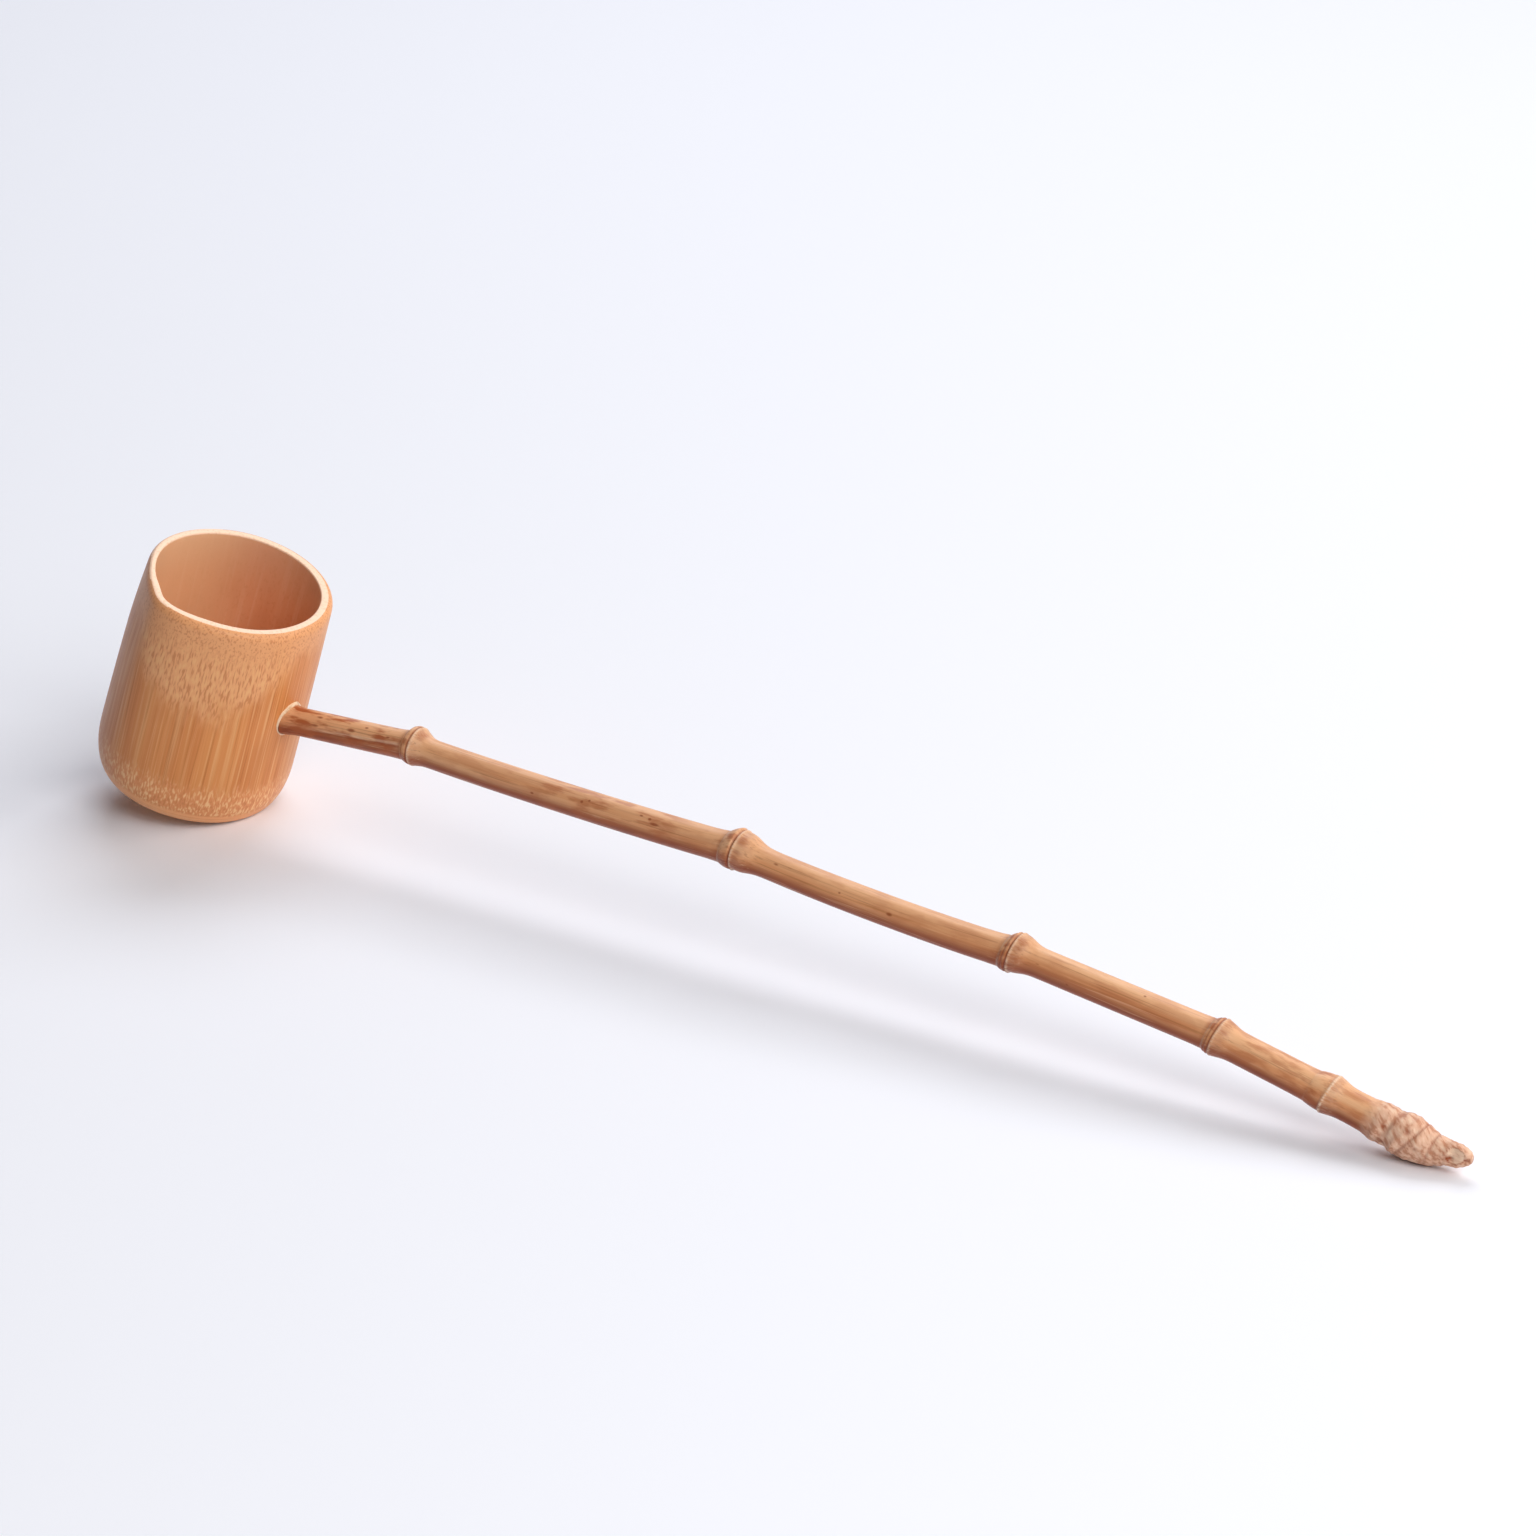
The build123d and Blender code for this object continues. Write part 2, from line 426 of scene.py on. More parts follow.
        colour = self.dashed_zone.lay(tree, body, dashed, upper_edge)
        colour = self.foot_zone.lay(tree, colour, flecked, edge)
        colour = self.bottom_zone.lay(tree, colour, lined, height)
        # painted shade on the side away from the handle
        colour = self.painted_shade_side.lay(tree, colour, self.painted_shade_brown, parts.outputs["X"])
        roughness = add(
            tree,
            "ShaderNodeMapRange",
            {
                "Value": fibres,
                "From Min": 0.3,
                "From Max": 0.7,
                "To Min": self.roughness_between_fibres,
                "To Max": self.roughness_on_fibres,
            },
        )
        self.complete(tree, colour, fibres, roughness.outputs["Result"])
        return material


@dataclass(frozen=True)
class SawnCulmEnd(Finish):
    """End grain of bamboo, sawn across and sanded: pale cream, with the fibre bundles as fine dots."""

    relief_strength: float = 0.2
    relief_height: float = 0.00005
    cream: str = "#F6CFB0"
    bundle: str = "#E6B68C"
    bundle_ends: Grain = Grain(0.45, 0.45, 1.0)
    dotting: Fade = Fade(0.52, 0.68, 0.6)

    def build(self) -> bpy.types.Material:
        """Builds the material."""
        material, tree = start_finish("sawn_culm_end")
        dots = self.bundle_ends.draw(tree, bench_millimetres(tree))
        self.complete(tree, self.dotting.lay(tree, self.cream, self.bundle, dots), dots)
        return material


@dataclass(frozen=True)
class PlanedCulmLining(Finish):
    """Inner wall of a culm, planed smooth and left matt: even tan with faint long fibres.

    It is paler near the mouth, and the side away from the handle is painted paler, as painted light.
    """

    roughness: float = 0.62
    ior: float = 1.45
    tan: str = "#E3A278"
    deep_tan: str = "#CF8454"
    pale_tan: str = "#F0C3A0"
    # painted light: the paler tan of the lit inner wall away from the handle
    painted_light_tan: str = "#F0C696"
    clouds: Grain = Grain(7.0, 16.0, 2.0)
    fibres: Grain = Grain(0.8, 45.0, 3.0)
    pores: Grain = Grain(0.4, 0.8, 1.0)
    deep_clouds: Fade = Fade(0.4, 0.7, 0.35)
    pale_fibres: Fade = Fade(0.5, 0.75, 0.3)
    deep_pores: Fade = Fade(0.45, 0.3, 0.25)
    pale_mouth: Fade = Fade(52.0, 70.0, 0.35)
    # painted light: the inner wall away from the handle is made paler
    painted_light_side: Fade = Fade(-6.0, -24.0, 0.55)

    def build(self) -> bpy.types.Material:
        """Builds the material."""
        material, tree = start_finish("planed_culm_lining")
        place = bench_millimetres(tree)
        parts = add(tree, "ShaderNodeSeparateXYZ", {0: place})
        fibres = self.fibres.draw(tree, place)
        colour = self.deep_clouds.lay(tree, self.tan, self.deep_tan, self.clouds.draw(tree, place))
        colour = self.pale_fibres.lay(tree, colour, self.pale_tan, fibres)
        colour = self.deep_pores.lay(tree, colour, self.deep_tan, self.pores.draw(tree, place))
        colour = self.pale_mouth.lay(tree, colour, self.pale_tan, parts.outputs["Z"])
        # painted light on the inner wall away from the handle
        colour = self.painted_light_side.lay(tree, colour, self.painted_light_tan, parts.outputs["X"])
        self.complete(tree, colour, fibres)
        return material


@dataclass(frozen=True)
class Blemish:
    """A small dark mark on the handle's skin, by its place on the unbent culm."""

    along: float
    angle: float
    length: float
    width: float


@dataclass(frozen=True)
class SmokedHandleCulm(Finish):
    """Thin bamboo with its own waxy skin, smoked and rubbed: tan with red-brown streaks and spots.

    The skin is glossy. The nodes keep a pale bloom of wax, their grooves hold soot, and the root end
    is mottled where its sheaths and rootlets were pared away; its pale mottle is partly a painted
    highlight. The upper side is painted lighter, as painted light, and the under side darker, as
    painted shade, by the millimetres above the handle's axis.
    """

    roughness: float = 0.35
    root_roughness: float = 0.45
    specular: float = 0.2
    relief_strength: float = 0.35
    relief_height: float = 0.00015
    root_relief: float = 0.5
    tan: str = "#DA9868"
    # pale skin colour, also used as the painted light on the upper side
    pale_skin_and_painted_light: str = "#EBBB90"
    red_brown: str = "#AA5C34"
    dark_fibre: str = "#9A6238"
    # painted shade: the colour of the under side
    painted_shade_underside: str = "#8A3E22"
    soot: str = "#8A3E1C"
    spot: str = "#8C4220"
    wax: str = "#EBCDB0"
    root_pale: str = "#DDB094"
    root_brown: str = "#B06C48"

    streaks: Grain = Grain(2.0, 55.0, 3.0)
    fibres: Grain = Grain(0.28, 14.0, 3.0)
    smudges: Grain = Grain(1.2, 5.0, 3.0)
    mottle: Grain = Grain(0.6, 2.0, 3.0)
    scratches: Grain = Grain(0.22, 3.0, 2.0)
    mottle_turn: tuple[float, float, float] = (0.5, 0.4, 0.0)

    pale_streaks: Fade = Fade(0.48, 0.70, 0.5)
    red_streaks: Fade = Fade(0.50, 0.30, 0.6)
    # painted light on the upper side and painted shade on the under side
    painted_light_top: Fade = Fade(1.8, 4.4, 0.55)
    painted_shade_bottom: Fade = Fade(1.7, -1.8, 0.95)
    dark_fibres: Fade = Fade(0.46, 0.30, 0.45)
    pale_fibres: Fade = Fade(0.56, 0.72, 0.4)
    stains: Fade = Fade(0.42, 0.62, 0.8)
    spots: Fade = Fade(1.0, 0.35, 0.8)
    brown_mottle: Fade = Fade(0.54, 0.36, 0.7)
    # pale waxy mottle on the root, partly real and partly painted highlights for its glints
    waxy_mottle_and_painted_glints: Fade = Fade(0.54, 0.68, 0.6)
    bloom: Fade = Fade(0.28, 0.62)

    blemish_radius: float = 4.7
    blemishes: tuple[Blemish, ...] = (
        Blemish(14.2, 28, 1.6, 0.7),
        Blemish(13.4, 66, 2.0, 0.7),
        Blemish(27.1, 54, 2.2, 0.9),
        Blemish(32.2, 30, 1.0, 0.6),
        Blemish(41.1, 50, 1.2, 0.5),
        Blemish(95.6, 80, 0.9, 0.5),
        Blemish(92.7, 118, 0.9, 0.5),
        Blemish(113.1, 54, 0.7, 0.6),
        Blemish(115.4, 42, 0.6, 0.5),
        Blemish(133.8, 38, 0.8, 0.4),
        Blemish(136.9, 42, 0.8, 0.6),
        Blemish(139.0, 56, 2.2, 0.6),
        Blemish(181.1, 48, 1.3, 0.6),
        Blemish(185.7, 42, 1.6, 0.4),
        Blemish(203.4, 60, 0.7, 0.5),
        Blemish(220.5, 70, 1.4, 0.7),
        Blemish(268.7, 66, 1.2, 0.4),
        Blemish(278.9, 96, 0.8, 0.5),
        Blemish(301.7, 22, 0.7, 0.5),
    )

    def off_blemish(self, tree: Tree, place: Socket) -> Socket:
        """Adds the distance to the nearest blemish, which is 1 at its rim.

        Args:
            tree: The tree that gets the nodes.
            place: Unbent coordinates in millimetres, with Z along the handle.

        Returns:
            The socket with the distance.
        """
        nearest = None
        for mark in self.blemishes:
            centre = polar(self.blemish_radius, mark.angle, mark.along)
            offset = add(tree, "ShaderNodeVectorMath", {0: place, 1: centre}, operation="SUBTRACT")
            scaled = add(
                tree,
                "ShaderNodeVectorMath",
                {0: offset.outputs["Vector"], 1: (1 / mark.width, 1 / mark.width, 1 / mark.length)},
                operation="MULTIPLY",
            )
            size = add(tree, "ShaderNodeVectorMath", {0: scaled.outputs["Vector"]}, operation="LENGTH")
            distance = size.outputs["Value"]
            if nearest is not None:
                lower = add(tree, "ShaderNodeMath", {0: nearest, 1: distance}, operation="MINIMUM")
                distance = lower.outputs[0]
            nearest = distance
        return nearest

    def build(self) -> bpy.types.Material:
        """Builds the material."""
        material, tree = start_finish("smoked_handle_culm")
        place = add(tree, "ShaderNodeAttribute", attribute_name=UNBENT).outputs["Vector"]
        soot, wax, root, stain = (
            add(tree, "ShaderNodeAttribute", attribute_name=name).outputs["Fac"] for name in SKIN_MASKS
        )
        upward = add(tree, "ShaderNodeSeparateXYZ", {0: place}).outputs["X"]
        aslant = add(tree, "ShaderNodeMapping", {"Vector": place, "Rotation": self.mottle_turn})
        streaks = self.streaks.draw(tree, place)
        fibres = self.fibres.draw(tree, place)
        smudges = self.smudges.draw(tree, place)
        mottle = self.mottle.draw(tree, aslant.outputs["Vector"])
        scratches = self.scratches.draw(tree, place)

        skin = self.pale_streaks.lay(tree, self.tan, self.pale_skin_and_painted_light, streaks)
        skin = self.red_streaks.lay(tree, skin, self.red_brown, streaks)
        # painted light on the upper side and painted shade on the under side, by height above the axis
        skin = self.painted_light_top.lay(tree, skin, self.pale_skin_and_painted_light, upward)
        skin = self.painted_shade_bottom.lay(tree, skin, self.painted_shade_underside, upward)
        skin = self.dark_fibres.lay(tree, skin, self.dark_fibre, fibres)
        skin = self.pale_fibres.lay(tree, skin, self.pale_skin_and_painted_light, fibres)
        skin = self.stains.lay(tree, skin, self.red_brown, smudges, stain)
        skin = self.spots.lay(tree, skin, self.spot, self.off_blemish(tree, place))
        rooty = self.brown_mottle.lay(tree, self.root_pale, self.root_brown, mottle)
        # pale mottle on the root, partly painted highlights
        rooty = self.waxy_mottle_and_painted_glints.lay(tree, rooty, self.wax, mottle)
        colour = add(tree, "ShaderNodeMix", {0: root, 6: skin, 7: rooty}, data_type="RGBA").outputs[2]
        colour = self.bloom.lay(tree, colour, self.wax, scratches, wax)
        sooty = {0: soot, 6: colour, 7: linear(self.soot)}
        colour = add(tree, "ShaderNodeMix", sooty, data_type="RGBA").outputs[2]

        rough = {0: root, 2: self.roughness, 3: self.root_roughness}
        roughness = add(tree, "ShaderNodeMix", rough, data_type="FLOAT").outputs[0]
        lumps = add(tree, "ShaderNodeMath", {0: mottle, 1: self.root_relief}, operation="MULTIPLY").outputs[0]
        relief = add(tree, "ShaderNodeMix", {0: root, 2: fibres, 3: lumps}, data_type="FLOAT").outputs[0]
        self.complete(tree, colour, relief, roughness)
        return material


@dataclass(frozen=True)
class SplitCulm(Finish):
    """A sliver of bamboo, split and shaved: pale straw with straight open fibres, quite matt."""

    roughness: float = 0.65
    ior: float = 1.45
    relief_strength: float = 0.4
    relief_height: float = 0.00005
    straw: str = "#DDB27E"
    fibre: str = "#B98752"
    fibres: Grain = Grain(0.2, 6.0, 2.0)
    dark_fibres: Fade = Fade(0.5, 0.32, 0.7)

    def build(self) -> bpy.types.Material:
        """Builds the material, with the fibres along X."""
        material, tree = start_finish("split_culm")
        turned = {"Vector": bench_millimetres(tree), "Rotation": (0.0, math.radians(90), 0.0)}
        along_x = add(tree, "ShaderNodeMapping", turned)
        fibres = self.fibres.draw(tree, along_x.outputs["Vector"])
        self.complete(tree, self.dark_fibres.lay(tree, self.straw, self.fibre, fibres), fibres)
        return material


@dataclass(frozen=True)
class HardenedGlue(Finish):
    """Glue squeezed out of the joint and left to harden: pale, slightly clear and glossy."""

    roughness: float = 0.35
    ior: float = 1.48
    relief_strength: float = 0.3
    relief_height: float = 0.0001
    cream: str = "#F0D3B0"
    amber: str = "#CFA070"
    clouds: Grain = Grain(0.9, 0.9, 2.0)
    amber_clouds: Fade = Fade(0.52, 0.7, 0.7)

    def build(self) -> bpy.types.Material:
        """Builds the material."""
        material, tree = start_finish("hardened_glue")
        clouds = self.clouds.draw(tree, bench_millimetres(tree))
        self.complete(tree, self.amber_clouds.lay(tree, self.cream, self.amber, clouds), clouds)
        return material


@dataclass(frozen=True)
class CulmOutline:
    """How a culm is out of round: a low ridge with a flat beside it."""

    ridge_height: float
    ridge_angle: float
    spread_to_flat: float
    spread_away: float
    flat_depth: float
    flat_angle: float
    flat_spread: float

    def swell(self, angle: float) -> float:
        """How far the wall stands out of round at an angle in degrees round the cup."""
        off_ridge = apart(angle, self.ridge_angle)
        spread = self.spread_away if off_ridge > 0 else self.spread_to_flat
        ridge = self.ridge_height * bell(off_ridge, spread)
        return ridge - self.flat_depth * bell(apart(angle, self.flat_angle), self.flat_spread)


class CupRegion(IntEnum):
    """The finish that a face of the cup takes, by its place among the material slots."""

    SKIN = 0
    END = 1
    LINING = 2


class HandleRegion(IntEnum):
    """The finish that a face of the handle takes, by its place among the material slots."""

    SKIN = 0
    TENON = 1


def full_turn(bm: bmesh.types.BMesh, steps: int) -> None:
    """Turns a section round the Z axis to a closed skin.

    Args:
        bm: The mesh that holds the section.
        steps: Steps of the turn.
    """
    bmesh.ops.spin(
        bm,
        geom=bm.verts[:] + bm.edges[:],
        cent=(0, 0, 0),
        axis=(0, 0, 1),
        angle=math.tau,
        steps=steps,
        use_merge=True,
    )
    bmesh.ops.remove_doubles(bm, verts=bm.verts, dist=0.001)
    bmesh.ops.recalc_face_normals(bm, faces=bm.faces)


def finished_piece(name: str, bm: bmesh.types.BMesh, materials: list[bpy.types.Material]) -> bpy.types.Object:
    """Leans a piece over, keeps it from sinking into the table and makes an object of it.

    Args:
        name: The piece's name.
        bm: Its mesh on the bench, which is freed.
        materials: Its materials, in the order of its slots.

    Returns:
        The object, riding on the dipper's one body.
    """
    bmesh.ops.transform(bm, matrix=BENCH_TO_TABLE, verts=bm.verts)
    for vert in bm.verts:
        vert.co.z = max(vert.co.z, 0.0)
    for face in bm.faces:
        face.smooth = True
    mesh = bpy.data.meshes.new(name)
    bm.to_mesh(mesh)
    bm.free()
    for material in materials:
        mesh.materials.append(material)
    piece = bpy.data.objects.new(name, mesh)
    bpy.context.scene.collection.objects.link(piece)
    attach(piece, "root")
    return piece


@dataclass
class Cup:
    """The cup: one section of thick culm, with its own node for a floor."""

    height: float = 72.3
    belly_radius: float = 30.9
    lip_draw_in: float = 0.75
    mouth_radius: float = 26.1
    floor_radius: float = 25.4
    floor_thickness: float = 6.5
    floor_corner_round: float = 5.0
    foot_height: float = 13.2
    foot_inset: float = 4.7
    lip_outer_round: float = 2.6
    lip_inner_round: float = 0.45
    wall_cuts: int = 24
    fade_at_foot: float = 0.12
    waver: float = 0.12
    waver_fineness: tuple[float, float, float] = (0.08, 0.08, 0.024)
    crook: tuple[float, float] = (0.38, 0.45)
    back_lift: float = 0.55
    back_angle: float = 122
    shoulder_depth: float = 0.85
    shoulder_height: float = 22.0
    shoulder_angle: float = -158
    shoulder_spread: float = 48
    shoulder_power: float = 1.3
    end_overlap: float = 0.55
    end_overlap_at_shoulder: float = 1.1
    end_depth: float = 0.9
    floor_margin: float = 0.01
    steps_round: int = 240
    outside: CulmOutline = CulmOutline(1.7, -100, 14, 30, 1.8, -142, 24)
    inside: CulmOutline = CulmOutline(2.3, -99.5, 12, 20, 0.75, -144, 24)

    def half_section(self) -> bmesh.types.BMesh:
        """Draws half of the cup's section in the XZ plane, square at first, then rounded by bevels."""
        bm = bmesh.new()
        corners = (
            (0, 0, 0),
            (self.belly_radius, 0, 0),
            (self.belly_radius, 0, self.height),
            (self.mouth_radius, 0, self.height),
            (self.floor_radius, 0, self.floor_thickness),
            (0, 0, self.floor_thickness),
        )
        verts = [bm.verts.new(corner) for corner in corners]
        for near, far in pairwise(verts):
            bm.edges.new((near, far))
        rounds_and_segments = (
            (verts[1], self.foot_height, 22),
            (verts[2], self.lip_outer_round, 8),
            (verts[3], self.lip_inner_round, 4),
            (verts[4], self.floor_corner_round, 8),
        )
        for vert, amount, segments in rounds_and_segments:
            bmesh.ops.bevel(
                bm,
                geom=[vert],
                offset=amount,
                offset_type="OFFSET",
                segments=segments,
                profile=0.5,
                affect="VERTICES",
                material=-1,
            )
        walls = [edge for edge in bm.edges if edge.calc_length() > self.foot_height]
        bmesh.ops.subdivide_edges(bm, edges=walls, cuts=self.wall_cuts)
        self.draw_in_foot(bm)
        return bm

    def draw_in_foot(self, bm: bmesh.types.BMesh) -> None:
        """Squeezes the foot's quarter circle to a quarter ellipse, and the flat floor with it."""
        flat_radius = self.belly_radius - self.foot_inset
        arc_start = self.belly_radius - self.foot_height
        squeeze = self.foot_inset / self.foot_height
        for vert in bm.verts:
            if vert.co.z >= self.floor_thickness and vert.co.x < self.floor_radius + self.lip_inner_round:
                continue
            if vert.co.z > self.foot_height:
                continue
            if vert.co.x >= arc_start:
                vert.co.x = self.belly_radius - (self.belly_radius - vert.co.x) * squeeze
            else:
                vert.co.x *= flat_radius / arc_start

    def place(self, vert: Vector) -> Vector:
        """Moves a point of the turned, round cup to where the real culm's wall is.

        Args:
            vert: The point on the round cup.

        Returns:
            The point on the culm.
        """
        radius = math.hypot(vert.x, vert.y)
        if radius == 0:
            return vert
        angle = math.degrees(math.atan2(vert.y, vert.x))
        above_foot = max(0.0, vert.z - self.foot_height) / (self.height - self.foot_height)
        across = min(1.0, max(0.0, (radius - self.mouth_radius) / (self.belly_radius - self.mouth_radius)))
        if vert.z < self.floor_thickness:
            across = 1.0
        fade = self.fade_at_foot + (1 - self.fade_at_foot) * vert.z / self.height
        swell = self.outside.swell(angle) * across + self.inside.swell(angle) * (1 - across)
        swell *= fade * min(1.0, radius / self.floor_radius)
        draw_in = self.lip_draw_in * above_foot ** 2 * across
        near_lip = max(0.0, 1 - (self.height - vert.z) / self.shoulder_height)
        shoulder = self.shoulder_depth * bell(apart(angle, self.shoulder_angle), self.shoulder_spread)
        draw_in += shoulder * near_lip ** self.shoulder_power * across
        uneven = self.waver * noise.noise(vert * Vector(self.waver_fineness)) * above_foot
        reach = (radius + swell - draw_in + uneven) / radius
        lean_on = above_foot ** 2
        back_turn = math.radians(self.back_angle)
        backward = (vert.x * math.cos(back_turn) + vert.y * math.sin(back_turn)) / self.belly_radius
        lift = self.back_lift * lean_on * (1 + backward) / 2
        aside = Vector((self.crook[0] * lean_on, self.crook[1] * lean_on, lift))
        return Vector((vert.x * reach, vert.y * reach, vert.z)) + aside

    def region(self, face: bmesh.types.BMFace) -> CupRegion:
        """Tells a face's finish by where it lies on the round cup."""
        middle = face.calc_center_median()
        radius = math.hypot(middle.x, middle.y)
        off_shoulder = apart(math.degrees(math.atan2(middle.y, middle.x)), self.shoulder_angle)
        overlap = self.end_overlap + self.end_overlap_at_shoulder * bell(off_shoulder, self.shoulder_spread)
        end_radius = self.belly_radius - self.lip_outer_round + overlap
        if middle.z > self.height - self.end_depth and self.mouth_radius < radius < end_radius:
            return CupRegion.END
        above_floor = middle.z > self.floor_thickness - self.floor_margin
        if above_floor and radius < self.mouth_radius + self.lip_inner_round:
            return CupRegion.LINING
        return CupRegion.SKIN

    def build(self, materials: list[bpy.types.Material]) -> bpy.types.Object:
        """Turns the half section on the cup's axis, shapes it and dresses it.

        Args:
            materials: The skin, the sawn end and the lining.

        Returns:
            The cup's object.
        """
        bm = self.half_section()
        full_turn(bm, self.steps_round)
        for face in bm.faces:
            face.material_index = self.region(face)
        for vert in bm.verts:
            vert.co = self.place(vert.co)
        piece = finished_piece("cup_culm", bm, materials)
        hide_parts("cup")
        return piece

    def outside_radius(self, height: float) -> float:
        """Radius of the culm's outside at a height above the foot, away from its ridge and flat."""
        above_foot = (height - self.foot_height) / (self.height - self.foot_height)
        return self.belly_radius - self.lip_draw_in * above_foot ** 2


@dataclass(frozen=True)
class Band:
    """A soft ring round the culm: its strength, how far past a groove it lies, and its half width."""

    strength: float
    past: float
    spread: float

    def at(self, off: float) -> float:
        """The band's strength at a distance past the groove."""
        return self.strength * bell(off - self.past, self.spread)


@dataclass(frozen=True)
class Stretch:
    """A stretch over which something comes in, stays and goes out again, along the handle or in depth."""

    strength: float
    start: float
    full: float
    fading: float = 1000.0
    end: float = 1001.0

    def at(self, place: float) -> float:
        """How much of it there is at a place."""
        return self.strength * eased(place, self.start, self.full) * (1 - eased(place, self.fading, self.end))


@dataclass(frozen=True)
class CulmNode:
    """One node of the handle: a swelling before the groove, and a flare after it.

    Distances along the handle are counted from the groove, those of a swelling's band from where the
    swelling starts, and those of a second groove's band from that groove.
    """

    along: float
    rise_before: float
    rise_after: float
    swelling: float
    flare_start: float
    flare: float
    slant: float
    groove: float
    second_groove: float = 0.0
    lift: float = 0.25
    bloom: float = 0.7
    full_groove: float = 0.3
    groove_spread: float = 0.24
    second_spread: float = 0.2
    second_share: float = 0.55
    swelling_power: float = 0.8
    skirt_share: float = 0.14
    skirt_before: float = 2.6
    skirt_after: float = 2.0
    rim: Band = Band(0.14, 0.6, 0.3)
    groove_soot: Band = Band(0.85, 0.0, 0.3)
    second_soot: Band = Band(0.6, 0.0, 0.24)
    swelling_soot: Band = Band(0.3, -0.4, 0.7)
    flare_soot: Band = Band(0.2, 2.4, 1.5)
    rim_wax: Band = Band(0.9, 0.65, 0.34)
    swelling_wax: Band = Band(0.45, 0.3, 0.3)
    flare_wax: Stretch = Stretch(0.28, -0.4, 0.6, 1.5, 6.5)
    waxy_side: float = 40
    waxy_side_share: float = 0.4
    flare_rust: Band = Band(0.8, 2.0, 2.2)
    rust_past_share: float = 0.6
    rust_spread_share: float = 0.8

    def offset(self, along: float, angle: float, radius: float) -> float:
        """Distance from the groove along the handle, with the ring's slant taken off."""
        lag = radius * math.tan(math.radians(self.slant)) * math.cos(math.radians(angle))
        return along - self.along - lag

    def rise(self, along: float, angle: float, radius: float) -> float:
        """How far the node stands above the culm.

        Args:
            along: Distance along the handle.
            angle: Degrees round it from its top.
            radius: The culm's radius there.

        Returns:
            The height above the culm.
        """
        off = self.offset(along, angle, radius)
        uneven = 1 + self.lift * math.cos(math.radians(angle))
        skirt = self.skirt_share * self.rise_before
        if off < 0:
            share = min(1.0, max(0.0, 1 + off / self.swelling))
            body = self.rise_before * math.sin(math.pi / 2 * share) ** self.swelling_power
            body += skirt * bell(min(0.0, off + self.swelling), self.skirt_before)
        else:
            body = self.rise_after * bell(max(0.0, off - self.flare_start), self.flare)
            body += skirt * (1 - eased(off, 0, self.skirt_after))
        groove = self.groove * bell(off, self.groove_spread)
        if self.second_groove:
            groove += self.second_share * self.groove * bell(off + self.second_groove, self.second_spread)
        return body * uneven - groove + self.rim.at(off)

    def soot(self, along: float, angle: float, radius: float) -> float:
        """How much soot the groove holds, from 0 to 1."""
        off = self.offset(along, angle, radius)
        dark = self.groove_soot.at(off) + self.swelling_soot.at(off + self.swelling) + self.flare_soot.at(off)
        if self.second_groove:
            dark += self.second_soot.at(off + self.second_groove)
        return min(1.0, dark * min(1.0, self.groove / self.full_groove))

    def wax(self, along: float, angle: float, radius: float) -> float:
        """How much of the pale bloom is left, from 0 to 1."""
        off = self.offset(along, angle, radius)
        ridge = self.rim_wax.at(off)
        ridge += min(1.0, self.groove / self.full_groove) * self.swelling_wax.at(off + self.swelling)
        side = math.cos(math.radians(angle - self.waxy_side))
        field = self.flare_wax.at(off) * (1 + self.waxy_side_share * (side - 1))
        return self.bloom * min(1.0, ridge + field)

    def rust(self, along: float, angle: float, radius: float) -> float:
        """How much red-brown from the smoking the swelling and the flare keep, from 0 to 1."""
        off = self.offset(along, angle, radius)
        past_middle = off + self.rust_past_share * self.swelling
        return max(bell(past_middle, self.rust_spread_share * self.swelling), self.flare_rust.at(off))


@dataclass(frozen=True)
class RootRing:
    """A ring or a crease round the root end."""

    along: float
    rise: float
    width: float
    slant: float
    soot: float = 0.0


@dataclass(frozen=True)
class Knob:
    """A small bump, or a pit where the height is negative."""

    along: float
    angle: float
    height: float
    reach: float
    soot: float = 0.0

    def share(self, along: float, angle: float, radius: float) -> float:
        """How much of the knob's height a point gets."""
        round_it = radius * math.radians(apart(angle, self.angle))
        return bell(math.hypot(along - self.along, round_it), self.reach)


@dataclass(frozen=True)
class Furrow:
    """The long shallow furrow in the first internode, which winds a little and has a pale upper edge."""

    extent: Stretch = Stretch(1.0, 9.0, 18.0, 44.0, 47.0)
    along: float = 13.7
    angle: float = 94
    turn_per_millimetre: float = -0.55
    edge_above: float = 10
    spread: float = 5.0
    depth: float = 0.3
    soot: float = 0.5
    wax: float = 0.5

    def shares(self, along: float, angle: float) -> tuple[float, float]:
        """How much of the furrow and of its pale edge there is.

        Args:
            along: Distance along the handle.
            angle: Degrees round it from its top.

        Returns:
            The furrow's share and the edge's, from 0 to 1.
        """
        off = apart(angle, self.angle + self.turn_per_millimetre * (along - self.along))
        here = self.extent.at(along)
        return here * bell(off, self.spread), here * bell(off + self.edge_above, self.spread)


